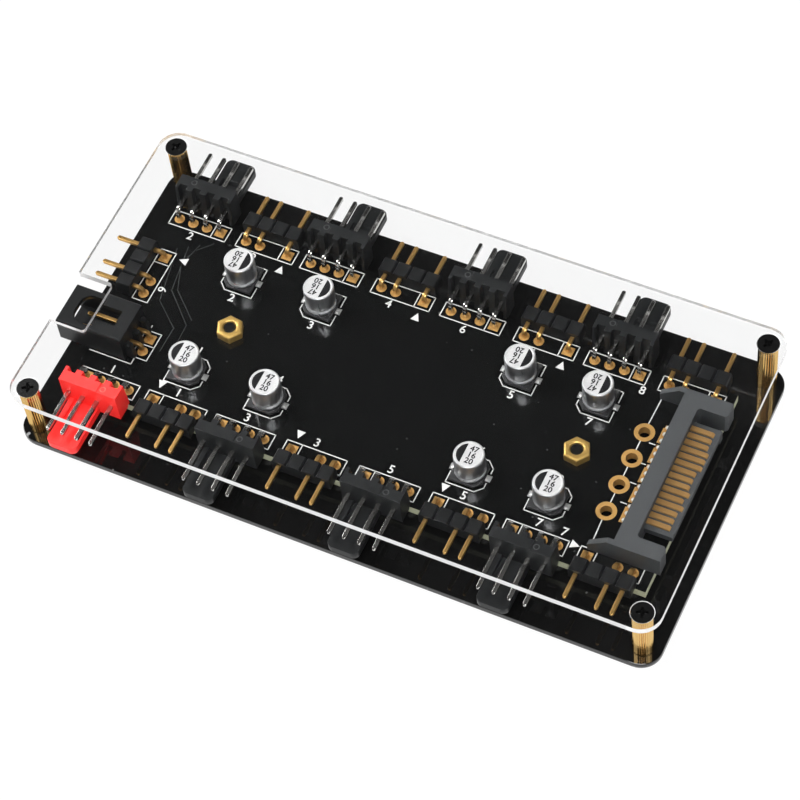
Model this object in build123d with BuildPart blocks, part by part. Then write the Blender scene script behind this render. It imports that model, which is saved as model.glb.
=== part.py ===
from build123d import *

import os
from math import atan, degrees

# Fan and lighting hub: a circuit board between a black base plate and a clear cover plate.
# X runs along the long side, Y towards the back edge, Z up. The origin is under the middle of the
# base plate. Every dimension is in millimetres.

os.makedirs("parts", exist_ok=True)

# Plates
plate_length = 110.0
plate_width = 57.0
plate_thickness = 1.2
plate_corner_radius = 3.5
plate_screw_inset = 3.0
cover_clearance = 0.35

# Circuit board, set in from the plates' edges
board_end_margin = 5.28
board_side_margin = 9.6
board_thickness = 1.6
board_clearance = 2.4

# M2 hardware. What is small, round and repeated has few sides, so that the part stays light.
small_round_side_count = 16
screw_diameter = 2.0
screw_hole_diameter = 2.3
screw_head_diameter = 3.6
screw_head_clearance = 0.08
screw_length = 5.0
thread_clearance = 0.04
standoff_diameter = 3.2
nut_across_flats = 4.0
nut_height = 1.6
nut_turn = 22.0
nut_fraction = (-0.5973, 0.6175)
nut_y = -0.4

# Headers have a 2.54 mm grid and stand in two rows along the board's long edges. Their middles, as
# those of the nuts and capacitors, are given as fractions of half the board's length.
pitch = 2.54
pin_width = 0.64
pin_tip_chamfer = 0.16
pin_inner_bend = 0.59
pin_hole_width = 0.84
pin_tail = 1.0
pad_inset = 2.35

# Four-pin fan headers, by the middle of each, and their sizes outwards from the pads
fan_pin_count = 4
fan_back_fraction = (-0.8837, -0.3970, 0.1078, 0.6096)
fan_front_fraction = (-0.8787, -0.3920, 0.1128, 0.6146)
fan_pin_height = 2.5
fan_pin_reach = 12.4
fan_pin_bend = 0.6
fan_body_height = 5.65
fan_body_drop = 0.4
fan_edge_clearance = 0.15
fan_foot_back = 1.9
fan_top_back = 2.4
fan_body_front = 5.1
fan_end_wall = 1.27
fan_slot_width = 1.4
fan_slot_depth = 0.8
fan_step_height = 0.15
fan_step_width = 3.44
tongue_width = 5.3
tongue_reach = 13.6
tongue_thickness = 1.4
tongue_corner_radius = 1.1
tongue_pocket_width = 3.5
tongue_pocket_length = 3.9
tongue_pocket_depth = 0.55

# Lighting headers: four positions, the third of them without a pin
strip_has_pin = (True, True, False, True)
strip_fraction = (-0.6354, -0.1406, 0.3652, 0.8640)
strip_pin_height = 1.4
strip_pin_reach = 8.6
strip_pin_bend = 0.55
strip_back = 1.7
strip_size = 2.54
strip_bevel_across = 0.27
strip_bevel_depth = 0.45

# Signal input header, the same strip on the left edge
input_inset = 3.32
input_y = 4.83

# Two-pin locking header on the left edge, its mouth level with the plates
latch_pin_count = 2
latch_inset = 8.48
latch_y = -7.81
latch_back = 1.86
latch_width = 7.65
latch_height = 5.4
latch_wall = 0.9
latch_rear_wall = 2.6
latch_edge_radius = 0.35
latch_floor_setback = 0.45
latch_pin_height = 1.9
latch_pin_setback = 2.65
latch_window_start = 2.05
latch_window_length = 4.15
latch_window_width = 5.4
latch_window_radius = 1.9
latch_slot_length = 3.4
latch_slot_width = 2.9
notch_margin = 1.1
notch_depth = 6.2
notch_corner_radius = 0.6

# Fifteen-contact flat power plug, its bar set back from the board's right edge
contact_count = 15
contact_pitch = 1.27
contact_row_y = 0.17
plug_height = 4.25
plug_bar_inset = 6.86
plug_bar_depth = 2.94
plug_arm_length = 7.79
plug_back_gap = 1.9
plug_front_gap = 1.15
plug_arm_width = 2.72
plug_corner_bevel = 0.4
plug_shoulder = 0.96
plug_wing_length = 3.2
plug_wing_width = 0.95
plug_wing_tip_height = 1.5
wafer_length = 4.68
wafer_width = 20.4
wafer_top = 2.55
wafer_thickness = 1.2
wafer_key_width = 1.1
wafer_key_depth = 1.0
contact_width = 0.84
contact_thickness = 0.4
contact_stand = 0.3
contact_setback = 0.85
contact_nose_edge = 0.1
contact_long_extra = 0.47
contact_long_numbers = (4, 5, 6, 10, 12)
contact_drop_depth = 0.5
tail_length = 1.36
tail_thickness = 0.3

# Large plated holes beside the power plug
plated_hole_diameter = 1.9
plated_hole_inset = 10.88
plated_hole_y = (7.13, 2.05, -3.03, -8.11)

# Surface-mount capacitors, in a front row and a back row
can_fraction = (-0.6557, -0.3681, 0.3389, 0.6044)
can_row_fraction = 0.5132
can_diameter = 5.0
can_height = 5.4
can_rim_bevel = 0.35
foot_side = 5.3
foot_height = 0.75
foot_cut = 1.1
terminal_width = 0.75
terminal_thickness = 0.2
terminal_start = 0.7
terminal_end = 3.15

# Heights and places that follow
board_length = plate_length - 2 * board_end_margin
board_width = plate_width - 2 * board_side_margin
half_length = board_length / 2
standoff_height = board_clearance + board_thickness + fan_body_height + cover_clearance
board_top = plate_thickness + board_clearance + board_thickness
cover_bottom = plate_thickness + standoff_height
cover_top = cover_bottom + plate_thickness
corner_x = plate_length / 2 - plate_screw_inset
corner_y = plate_width / 2 - plate_screw_inset
corner_points = [(x, y) for x in (-corner_x, corner_x) for y in (-corner_y, corner_y)]
nut_points = [(fraction * half_length, nut_y) for fraction in nut_fraction]
head_slope = (screw_head_diameter - screw_diameter) / 2 / plate_thickness
head_taper = degrees(atan(head_slope))
pad_row_y = board_width / 2 - pad_inset
thread_hole_diameter = screw_diameter + thread_clearance
can_row_y = can_row_fraction * board_width / 2
bar_left = half_length - plug_bar_inset
bar_right = bar_left + plug_bar_depth
plug_back_y = pad_row_y - plug_back_gap
plug_front_y = plug_front_gap - pad_row_y
latch_pad_x = latch_inset - half_length
latch_reach = latch_pad_x + plate_length / 2


def along_board(fractions):
    """Places along the board, from fractions of half its length."""
    return [fraction * half_length for fraction in fractions]


def row_plane(x, y, way_x, way_y):
    """Plane on the board at a row of pads, its y axis pointing out over the board's edge."""
    return Plane(origin=(x, y, board_top), x_dir=(way_y, -way_x, 0), z_dir=(0, 0, 1))


def side_plane(row, along=0):
    """Upright plane across a row, its x axis pointing outwards and its y axis up."""
    origin = row.from_local_coords((along, 0, 0))
    return Plane(origin=origin, x_dir=row.y_dir, z_dir=row.x_dir)


def pin_places(count):
    """Places along a row, the last of which is pin one."""
    return [(i - (count - 1) / 2) * pitch for i in range(count)]


fan_alongs = pin_places(fan_pin_count)
strip_positions = len(strip_has_pin)
strip_alongs = [along for along, has in zip(pin_places(strip_positions), strip_has_pin) if has]
latch_alongs = pin_places(latch_pin_count)
fan_front_rows = [row_plane(x, -pad_row_y, 0, -1) for x in along_board(fan_front_fraction)]
fan_back_rows = [row_plane(x, pad_row_y, 0, 1) for x in along_board(fan_back_fraction)]
strip_front_rows = [row_plane(x, -pad_row_y, 0, -1) for x in along_board(strip_fraction)]
strip_back_rows = [row_plane(x, pad_row_y, 0, 1) for x in along_board(strip_fraction)]
input_row = row_plane(input_inset - half_length, input_y, -1, 0)
latch_row = row_plane(latch_pad_x, latch_y, -1, 0)


def save(builder, name):
    """Label a finished piece and write it to a file of its own."""
    builder.part.label = name
    export_step(builder.part, f"parts/{name}.step")


def small_rounds(diameter, points, mode=Mode.ADD):
    """Many-sided outlines that stand for small circles, in the sketch being drawn."""
    with Locations(*points):
        RegularPolygon(diameter / 2, small_round_side_count, major_radius=False, mode=mode)


def plate(name, bottom, holes, head_face, notched):
    """Rounded plate with a countersink right through it at each point, wide at head_face."""
    way = 1 if head_face == bottom else -1
    with BuildPart() as body:
        with BuildSketch(Plane.XY.offset(bottom)):
            RectangleRounded(plate_length, plate_width, plate_corner_radius)
            if notched:
                notch_width = latch_width + 2 * notch_margin
                with Locations((-plate_length / 2, latch_y)):
                    RectangleRounded(2 * notch_depth, notch_width, notch_corner_radius, mode=Mode.SUBTRACT)
        extrude(amount=plate_thickness)
        with BuildSketch(Plane.XY.offset(head_face)):
            small_rounds(screw_head_diameter + 2 * screw_head_clearance, holes)
        extrude(amount=way * plate_thickness, taper=head_taper, mode=Mode.SUBTRACT)
    save(body, name)


def countersunk_screws(name, points, face, way, length):
    """Countersunk screws, way being the direction from the head into the work."""
    with BuildPart() as screws:
        with BuildSketch(Plane.XY.offset(face)):
            small_rounds(screw_head_diameter, points)
        extrude(amount=way * plate_thickness, taper=head_taper)
        with BuildSketch(Plane.XY.offset(face + way * plate_thickness)):
            small_rounds(screw_diameter, points)
        extrude(amount=way * (length - plate_thickness))
    save(screws, name)


def standoffs():
    """Round brass standoffs between the plates, bored through for a screw at each end."""
    with BuildPart() as group:
        with BuildSketch(Plane.XY.offset(plate_thickness)):
            with Locations(*corner_points):
                Circle(standoff_diameter / 2)
            small_rounds(thread_hole_diameter, corner_points, Mode.SUBTRACT)
        extrude(amount=standoff_height)
    save(group, "corner_standoffs")


def hex_blocks(name, bottom, height):
    """Hexagonal nuts or spacers round the screws that carry the board."""
    with BuildPart() as group:
        with BuildSketch(Plane.XY.offset(bottom)):
            with Locations(*nut_points):
                RegularPolygon(nut_across_flats / 2, 6, major_radius=False, rotation=nut_turn)
            small_rounds(thread_hole_diameter, nut_points, Mode.SUBTRACT)
        extrude(amount=height)
    save(group, name)


def circuit_board():
    """Board with its screw holes, the four large plated holes and every pin hole."""
    plated = [(half_length - plated_hole_inset, y) for y in plated_hole_y]
    rows = [(row, fan_alongs) for row in fan_front_rows + fan_back_rows]
    rows += [(row, strip_alongs) for row in strip_front_rows + strip_back_rows + [input_row]]
    rows += [(latch_row, latch_alongs)]
    with BuildPart() as board:
        with BuildSketch(Plane.XY.offset(board_top)):
            Rectangle(board_length, board_width)
            small_rounds(screw_hole_diameter, nut_points, Mode.SUBTRACT)
            small_rounds(plated_hole_diameter, plated, Mode.SUBTRACT)
        extrude(amount=-board_thickness)
        for row, alongs in rows:
            with BuildSketch(row):
                with Locations(*[(along, 0) for along in alongs]):
                    Rectangle(pin_hole_width, pin_hole_width)
            extrude(amount=-board_thickness, mode=Mode.SUBTRACT)
    save(board, "circuit_board")


def bent_pins(name, row, alongs, height, reach, bend):
    """Square pins that rise from their pads, bend over and run out level to a tapered tip."""
    half = pin_width / 2
    foot = -(board_thickness + pin_tail)
    taper = pin_tip_chamfer
    inside = bend - pin_inner_bend * pin_width
    with BuildPart() as pins:
        with BuildSketch(*[side_plane(row, along) for along in alongs]):
            with BuildLine():
                Polyline(
                    (-half, foot),
                    (-half, height + half - bend),
                    (bend - half, height + half),
                    (reach - taper, height + half),
                    (reach, height + half - taper),
                    (reach, height - half + taper),
                    (reach - taper, height - half),
                    (half + inside, height - half),
                    (half, height - half - inside),
                    (half, foot),
                    close=True,
                )
            make_face()
        extrude(amount=half, both=True)
    save(pins, name)


def pin_passages(row, alongs, height, length):
    """Square passages of a pin's own size, cut through the header being built."""
    with BuildSketch(*[side_plane(row, along) for along in alongs]) as passages:
        with Locations((0, height)):
            Rectangle(2 * length, pin_width)
    extrude(passages.sketch, amount=pin_width / 2, both=True, mode=Mode.SUBTRACT)


def fan_header(name, row):
    """Angled fan header: a block slotted behind its pins, with a locking tongue in front.

    The tongue lies under pins one to three, which keeps a three-pin plug in its place.
    """
    half_width = fan_alongs[-1] + fan_end_wall
    step_end = fan_step_width - half_width
    body_middle = (fan_top_back + fan_body_front) / 2
    slot_end = fan_top_back + fan_slot_depth
    tongue_along = pitch / 2
    tongue_top = tongue_thickness - fan_body_drop
    with BuildPart() as header:
        with BuildSketch(side_plane(row)):
            with BuildLine():
                Polyline(
                    (fan_foot_back, 0),
                    (pad_inset + fan_edge_clearance, 0),
                    (pad_inset + fan_edge_clearance, -fan_body_drop),
                    (fan_body_front, -fan_body_drop),
                    (fan_body_front, fan_body_height),
                    (fan_top_back, fan_body_height),
                    close=True,
                )
            make_face()
        extrude(amount=half_width, both=True)
        # The end over pin four is a little lower
        with BuildSketch(row.offset(fan_body_height)):
            with Locations((step_end - fan_step_width / 2, body_middle)):
                Rectangle(fan_step_width, fan_body_front)
        extrude(amount=-fan_step_height, mode=Mode.SUBTRACT)
        # The tongue has rounded tip corners
        with BuildSketch(row.offset(-fan_body_drop)):
            with Locations((tongue_along, (slot_end + tongue_reach) / 2)):
                Rectangle(tongue_width, tongue_reach - slot_end)
            fillet(vertices().group_by(Axis.Y)[-1], tongue_corner_radius)
        extrude(amount=tongue_thickness)
        # A pocket behind the tip leaves a ramp for the plug's latch
        pocket_floor = tongue_top - tongue_pocket_depth
        with BuildSketch(side_plane(row, tongue_along)):
            with BuildLine():
                Polyline(
                    (fan_body_front, tongue_top),
                    (fan_body_front, pocket_floor),
                    (fan_body_front + tongue_pocket_length, pocket_floor),
                    (fan_body_front + tongue_pocket_length + tongue_pocket_depth, tongue_top),
                    close=True,
                )
            make_face()
        extrude(amount=tongue_pocket_width / 2, both=True, mode=Mode.SUBTRACT)
        with BuildSketch(row.offset(fan_body_height)):
            with Locations(*[(along, slot_end / 2) for along in fan_alongs]):
                Rectangle(fan_slot_width, slot_end)
        extrude(amount=-fan_body_height - fan_body_drop, mode=Mode.SUBTRACT)
        pin_passages(row, fan_alongs, fan_pin_height, fan_body_front)
    save(header, name)


def strip_header(name, row):
    """Angled strip of square blocks with a bevelled joint between neighbours on top."""
    start = row.from_local_coords((0, strip_back, 0))
    joints = [(i - strip_positions / 2) * pitch for i in range(strip_positions + 1)]
    with BuildPart() as header:
        with BuildSketch(Plane(origin=start, x_dir=row.x_dir, z_dir=-row.y_dir)):
            with Locations((0, strip_size / 2)):
                Rectangle(strip_positions * pitch, strip_size)
            for joint in joints:
                with BuildLine():
                    Polyline(
                        (joint - strip_bevel_across, strip_size),
                        (joint + strip_bevel_across, strip_size),
                        (joint, strip_size - strip_bevel_depth),
                        close=True,
                    )
                make_face(mode=Mode.SUBTRACT)
        extrude(amount=-strip_size)
        pin_passages(row, strip_alongs, strip_pin_height, strip_back + strip_size)
    save(header, name)


def latch_header():
    """Two-pin locking header: a shroud open on the left, its roof cut away over the latch."""
    middle = (latch_back + latch_reach) / 2
    cavity_back = latch_back + latch_rear_wall
    inner_width = latch_width - 2 * latch_wall
    window_middle = latch_reach - latch_window_start - latch_window_length / 2
    slot_middle = window_middle - (latch_window_length + latch_slot_length) / 2
    with BuildPart() as header:
        with BuildSketch(latch_row):
            with Locations((0, middle)):
                Rectangle(latch_width, latch_reach - latch_back)
        extrude(amount=latch_height)
        fillet(header.edges().filter_by(Axis.X).group_by(Axis.Z)[-1], latch_edge_radius)
        with BuildSketch(latch_row.offset(latch_wall)):
            with Locations((0, (cavity_back + latch_reach) / 2)):
                Rectangle(inner_width, latch_reach - cavity_back)
        extrude(amount=latch_height - 2 * latch_wall, mode=Mode.SUBTRACT)
        # The floor stops just short of the mouth
        with BuildSketch(latch_row):
            with Locations((0, latch_reach)):
                Rectangle(inner_width, 2 * latch_floor_setback)
        extrude(amount=latch_wall, mode=Mode.SUBTRACT)
        # The window in the roof is wide and rounded near the mouth and narrow behind
        with BuildSketch(latch_row.offset(latch_height - latch_wall)):
            with Locations((0, window_middle)):
                Rectangle(latch_window_width, latch_window_length)
            fillet(vertices().group_by(Axis.Y)[-1], latch_window_radius)
            with Locations((0, slot_middle)):
                Rectangle(latch_slot_width, latch_slot_length)
        extrude(amount=latch_wall, mode=Mode.SUBTRACT)
        pin_passages(latch_row, latch_alongs, latch_pin_height, cavity_back)
    save(header, "latch_header")


def contact_solids(mode):
    """Contacts that lie on the wafer, turn down inside the bar and run out along the board."""
    top = wafer_top + contact_stand
    bottom = top - contact_thickness
    drop = bar_left + contact_drop_depth
    tail = bar_left - tail_length
    for i in range(contact_count):
        y = contact_row_y + ((contact_count - 1) / 2 - i) * contact_pitch
        nose = bar_right + wafer_length - contact_setback
        if i + 1 in contact_long_numbers:
            nose += contact_long_extra
        shoulder = nose - contact_thickness + contact_nose_edge
        side = Plane(origin=(0, y, board_top), x_dir=(1, 0, 0), z_dir=(0, -1, 0))
        with BuildSketch(side) as outline:
            with BuildLine():
                Polyline(
                    (nose, bottom),
                    (nose, bottom + contact_nose_edge),
                    (shoulder, top),
                    (drop, top),
                    (drop, tail_thickness),
                    (tail, tail_thickness),
                    (tail, 0),
                    (drop + contact_thickness, 0),
                    (drop + contact_thickness, bottom),
                    close=True,
                )
            make_face()
        extrude(outline.sketch, amount=contact_width / 2, both=True, mode=mode)


def power_plug():
    """Flat power plug: a bar between two guide arms, and the wafer that carries the contacts."""
    arm_right = bar_left + plug_arm_length
    shoulder = bar_left - plug_shoulder
    wing_tip = shoulder - plug_wing_length
    back_inner = plug_back_y - plug_arm_width
    front_inner = plug_front_y + plug_arm_width
    wafer_x = bar_right + wafer_length / 2
    key_y = contact_row_y + (wafer_width - wafer_key_width) / 2
    with BuildPart() as housing:
        with BuildSketch(Plane.XY.offset(board_top)):
            with BuildLine():
                Polyline(
                    (shoulder, plug_back_y),
                    (arm_right, plug_back_y),
                    (arm_right, back_inner),
                    (bar_right, back_inner),
                    (bar_right, front_inner),
                    (arm_right, front_inner),
                    (arm_right, plug_front_y),
                    (shoulder, plug_front_y),
                    (shoulder, plug_front_y + plug_wing_width),
                    (bar_left, plug_front_y + plug_wing_width),
                    (bar_left, plug_back_y - plug_wing_width),
                    (shoulder, plug_back_y - plug_wing_width),
                    close=True,
                )
            make_face()
            right = vertices().filter_by(lambda v: v.X > (bar_left + bar_right) / 2)
            chamfer(right.group_by(Axis.Y)[1] + right.group_by(Axis.Y)[2], plug_corner_bevel)
        extrude(amount=plug_height)
        # Each arm ends on the left in a thin wing that slopes down to the board
        for y, way in ((plug_back_y, 1), (plug_front_y, -1)):
            with BuildSketch(Plane.XZ.offset(-y)):
                with BuildLine():
                    Polyline(
                        (shoulder, board_top),
                        (shoulder, board_top + plug_height),
                        (wing_tip, board_top + plug_wing_tip_height),
                        (wing_tip, board_top),
                        close=True,
                    )
                make_face()
            extrude(amount=way * plug_wing_width)
        # The wafer's back end is thicker, which keys the plug
        with BuildSketch(Plane.XY.offset(board_top + wafer_top)):
            with Locations((wafer_x, contact_row_y)):
                Rectangle(wafer_length, wafer_width)
        extrude(amount=-wafer_thickness)
        with BuildSketch(Plane.XY.offset(board_top + wafer_top)):
            with Locations((wafer_x, key_y)):
                Rectangle(wafer_length, wafer_key_width)
        extrude(amount=-wafer_thickness - wafer_key_depth)
        contact_solids(Mode.SUBTRACT)
    save(housing, "power_plug_housing")


def power_contacts():
    """The fifteen contacts of the power plug."""
    with BuildPart() as contacts:
        contact_solids(Mode.ADD)
    save(contacts, "power_plug_contacts")


def capacitor_places():
    """Middle of each capacitor and the side of its cut corners, which the two rows have opposite."""
    places = along_board(can_fraction)
    return [(x, -can_row_y, 1) for x in places] + [(x, can_row_y, -1) for x in places]


def capacitor_can(name, x, y):
    """Aluminium can with a bevelled top rim."""
    with BuildPart() as can:
        with BuildSketch(Plane.XY.offset(board_top + foot_height)):
            with Locations((x, y)):
                Circle(can_diameter / 2)
        extrude(amount=can_height - foot_height)
        chamfer(can.edges().group_by(Axis.Z)[-1], can_rim_bevel)
    save(can, name)


def capacitor_feet():
    """Square feet with two cut corners, standing on the terminals."""
    half = foot_side / 2
    inset = half - foot_cut
    with BuildPart() as feet:
        with BuildSketch(Plane.XY.offset(board_top + terminal_thickness)):
            for x, y, way in capacitor_places():
                with BuildLine():
                    Polyline(
                        (x - way * half, y - half),
                        (x + way * inset, y - half),
                        (x + way * half, y - inset),
                        (x + way * half, y + inset),
                        (x + way * inset, y + half),
                        (x - way * half, y + half),
                        close=True,
                    )
                make_face()
        extrude(amount=foot_height - terminal_thickness)
    save(feet, "capacitor_feet")


def capacitor_terminals():
    """Tin terminals that run out on the board from under each foot."""
    middle = (terminal_start + terminal_end) / 2
    with BuildPart() as terminals:
        with BuildSketch(Plane.XY.offset(board_top)):
            for x, y, way in capacitor_places():
                with Locations((x - middle, y), (x + middle, y)):
                    Rectangle(terminal_end - terminal_start, terminal_width)
        extrude(amount=terminal_thickness)
    save(terminals, "capacitor_terminals")


plate("base_plate", 0, corner_points + nut_points, 0, False)
plate("cover_plate", cover_bottom, corner_points, cover_top, True)
standoffs()
hex_blocks("board_spacers", plate_thickness, board_clearance)
hex_blocks("board_nuts", board_top, nut_height)
countersunk_screws("cover_screws", corner_points, cover_top, -1, screw_length)
countersunk_screws("base_screws", corner_points, 0, 1, screw_length)
countersunk_screws("board_screws", nut_points, 0, 1, board_top + nut_height)
circuit_board()

# Odd numbers stand along the front edge and even ones along the back, counted from the left
for first, rows in ((1, fan_front_rows), (2, fan_back_rows)):
    for number, row in enumerate(rows):
        fan_header(f"fan_header_{first + 2 * number}", row)
        pins = f"fan_pins_{first + 2 * number}"
        bent_pins(pins, row, fan_alongs, fan_pin_height, fan_pin_reach, fan_pin_bend)

for first, rows in ((1, strip_front_rows), (2, strip_back_rows)):
    for number, row in enumerate(rows):
        strip_header(f"led_header_{first + 2 * number}", row)
        pins = f"led_pins_{first + 2 * number}"
        bent_pins(pins, row, strip_alongs, strip_pin_height, strip_pin_reach, strip_pin_bend)

strip_header("input_header", input_row)
bent_pins("input_pins", input_row, strip_alongs, strip_pin_height, strip_pin_reach, strip_pin_bend)
latch_header()
latch_pin_reach = latch_reach - latch_pin_setback
bent_pins("latch_pins", latch_row, latch_alongs, latch_pin_height, latch_pin_reach, strip_pin_bend)
power_plug()
power_contacts()

for number, (x, y, way) in enumerate(capacitor_places(), start=1):
    capacitor_can(f"capacitor_can_{number}", x, y)
capacitor_feet()
capacitor_terminals()
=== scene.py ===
import logging
import math
from dataclasses import dataclass, field
from enum import Enum
from typing import Callable, Optional, Sequence

import bmesh
import bpy
from mathutils import Matrix, Vector


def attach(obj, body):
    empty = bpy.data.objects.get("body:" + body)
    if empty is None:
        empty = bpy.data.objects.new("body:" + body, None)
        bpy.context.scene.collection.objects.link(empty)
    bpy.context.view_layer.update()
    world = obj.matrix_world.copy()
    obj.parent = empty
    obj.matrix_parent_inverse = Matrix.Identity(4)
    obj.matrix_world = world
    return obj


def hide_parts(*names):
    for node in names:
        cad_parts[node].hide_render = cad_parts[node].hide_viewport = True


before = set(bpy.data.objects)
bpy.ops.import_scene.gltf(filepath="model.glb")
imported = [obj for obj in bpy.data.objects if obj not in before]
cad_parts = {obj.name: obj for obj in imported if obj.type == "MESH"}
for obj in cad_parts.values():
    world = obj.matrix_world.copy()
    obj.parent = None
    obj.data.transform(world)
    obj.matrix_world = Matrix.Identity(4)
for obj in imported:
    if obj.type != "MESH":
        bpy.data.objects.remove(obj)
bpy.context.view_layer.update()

logging.basicConfig(level=logging.INFO, format="%(message)s")
LOG = logging.getLogger("hub")

MM = 0.001
BROAD_FACE = 12.0 * MM * MM
BOARD_TOP = 5.2
BOARD_BOTTOM = 3.6
PLATE_TOP = 1.2
COVER_BOTTOM = 11.2
COVER_TOP = 12.4
PITCH = 2.54
PAD_ROW = 16.55
FAN_BACK_X = (-43.94, -19.74, 5.36, 30.31)
FAN_FRONT_X = (-43.69, -19.49, 5.61, 30.56)
STRIP_X = (-31.59, -6.99, 18.16, 42.96)
CAN_X = (-32.6, -18.3, 16.85, 30.05)
CAN_Y = 9.7
NUT_POINTS = ((-29.7, -0.4), (30.7, -0.4))
CORNER_POINTS = tuple((x, y) for x in (-52.0, 52.0) for y in (-25.5, 25.5))
PLATED_X = 38.84
PLATED_Y = (7.13, 2.05, -3.03, -8.11)
FAN_ALONGS = tuple((i - 1.5) * PITCH for i in range(4))
STRIP_ALONGS = (-1.5 * PITCH, -0.5 * PITCH, 1.5 * PITCH)
TWO_ALONGS = (-0.5 * PITCH, 0.5 * PITCH)
CONTACT_COUNT = 15
CONTACT_PITCH = 1.27
CONTACT_ROW_Y = 0.17
CAN_LINES = ("47", "16", "20")
CAN_SIGNS_BACK = ("2", "3", "5", "7")
CAN_SIGNS_FRONT = ("1", "4", "6", "8")


class Side(Enum):
    """Edge of the board that a header looks out over, with its turn about the upright axis."""

    FRONT = 0.0
    BACK = math.pi
    LEFT = -math.pi / 2


INPUT_ROW = (-46.4, 4.83, Side.LEFT)
LATCH_ROW = (-41.24, -7.81, Side.LEFT)


def numbered(front: Sequence[float], back: Sequence[float]) -> list[tuple[int, float, float, Side]]:
    """List the headers of both long edges, odd numbers in front and even ones at the back.

    Args:
        front: Middles of the headers along the front edge.
        back: Middles of the headers along the back edge.

    Returns:
        Number, middle of the pad row and edge of each header.
    """
    rows = [(2 * i + 1, x, -PAD_ROW, Side.FRONT) for i, x in enumerate(front)]
    return rows + [(2 * i + 2, x, PAD_ROW, Side.BACK) for i, x in enumerate(back)]


def shift(x: float, y: float, z: float = 0.0) -> Matrix:
    """Matrix that moves a piece by millimetres."""
    return Matrix.Translation(Vector((x, y, z)) * MM)


def turned_by(angle: float) -> Matrix:
    """Matrix that turns a piece about the upright axis."""
    return Matrix.Rotation(angle, 4, "Z")


def place(x: float, y: float, side: Side, z: float = BOARD_TOP) -> Matrix:
    """Matrix from a row's own space, its outward way along -Y, to the hub.

    Args:
        x: Middle of the row along the hub, in millimetres.
        y: Middle of the row across the hub, in millimetres.
        side: Edge of the board that the row looks out over.
        z: Height of the row's own zero, in millimetres.

    Returns:
        The matrix, in metres.
    """
    return shift(x, y, z) @ turned_by(side.value)


# Shader nodes


class GroupKind(Enum):
    """Effects that several finishes share."""

    GRAIN = "moulded_grain"
    BRUSHED = "brushed_streaks"
    DUST = "fine_dust"
    WEAR = "patchy_wear"


def feed(tree: bpy.types.NodeTree, value: object, socket: bpy.types.NodeSocket) -> None:
    """Link an output into a socket, or set the socket to a plain value.

    Args:
        tree: Node tree that both belong to.
        value: Output socket or plain value.
        socket: Input socket that takes it.
    """
    if isinstance(value, bpy.types.NodeSocket):
        tree.links.new(value, socket)
    else:
        socket.default_value = value


def add_node(tree: bpy.types.NodeTree, kind: str, feeds: dict, **settings: object) -> bpy.types.Node:
    """Add a node with its settings and what its inputs take.

    Args:
        tree: Node tree that gets the node.
        kind: Type of the node, without the word ShaderNode.
        feeds: Output socket or plain value for each input, by name or number.
        settings: Properties of the node, set before its inputs.

    Returns:
        The node.
    """
    node = tree.nodes.new(f"ShaderNode{kind}")
    for name, value in settings.items():
        setattr(node, name, value)
    for name, value in feeds.items():
        feed(tree, value, node.inputs[name])
    return node


def calculated(tree: bpy.types.NodeTree, operation: str, *values: object,
               clamp: bool = False) -> bpy.types.NodeSocket:
    """Add a Math node fed with sockets or numbers, and give its result."""
    return add_node(tree, "Math", dict(enumerate(values)), operation=operation, use_clamp=clamp).outputs[0]


def mixed(tree: bpy.types.NodeTree, kind: str, factor: object, one: object,
          two: object) -> bpy.types.NodeSocket:
    """Add a Mix node of a data type, from one to two, and give its result."""
    return add_node(tree, "Mix", {"Factor": factor, "A": one, "B": two}, data_type=kind).outputs["Result"]


def new_group(kind: GroupKind, inputs: Sequence[tuple[str, float]]) -> bpy.types.NodeTree:
    """Make an empty shader group that reads Object coordinates.

    Args:
        kind: Effect that names the group.
        inputs: Names and defaults of the group's float inputs.

    Returns:
        The group's node tree, with a Mask output.
    """
    tree = bpy.data.node_groups.new(kind.value, "ShaderNodeTree")
    tree.interface.new_socket("Vector", in_out="INPUT", socket_type="NodeSocketVector")
    for name, value in inputs:
        socket = tree.interface.new_socket(name, in_out="INPUT", socket_type="NodeSocketFloat")
        socket.default_value = value
    tree.interface.new_socket("Mask", in_out="OUTPUT", socket_type="NodeSocketFloat")
    tree.nodes.new("NodeGroupInput")
    tree.nodes.new("NodeGroupOutput")
    return tree


def ends(tree: bpy.types.NodeTree) -> tuple:
    """Give the outputs of a group's input node, and the Mask input of its output node."""
    return tree.nodes["Group Input"].outputs, tree.nodes["Group Output"].inputs["Mask"]


def make_grain_group() -> bpy.types.NodeTree:
    """Make the fine speckle of a spark-eroded mould.

    Returns:
        The group, its mask from 0 to 1.
    """
    tree = new_group(GroupKind.GRAIN, (("Scale", 4000.0), ("Detail", 3.0)))
    given, mask = ends(tree)
    noise = add_node(tree, "TexNoise", {name: given[name] for name in ("Vector", "Scale", "Detail")})
    feed(tree, noise.outputs["Fac"], mask)
    return tree


def make_brushed_group() -> bpy.types.NodeTree:
    """Make streaks along the upright axis, as drawing or brushing leaves them.

    Returns:
        The group, its mask from 0 to 1.
    """
    tree = new_group(GroupKind.BRUSHED, (("Scale", 3000.0), ("Stretch", 0.06)))
    given, mask = ends(tree)
    stretch = add_node(tree, "CombineXYZ", {"X": 1.0, "Y": 1.0, "Z": given["Stretch"]})
    squeeze = add_node(tree, "VectorMath", {0: given["Vector"], 1: stretch.outputs["Vector"]},
                       operation="MULTIPLY")
    noise = add_node(tree, "TexNoise", {"Vector": squeeze.outputs["Vector"], "Scale": given["Scale"],
                                        "Detail": 2.0})
    feed(tree, noise.outputs["Fac"], mask)
    return tree


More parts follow.
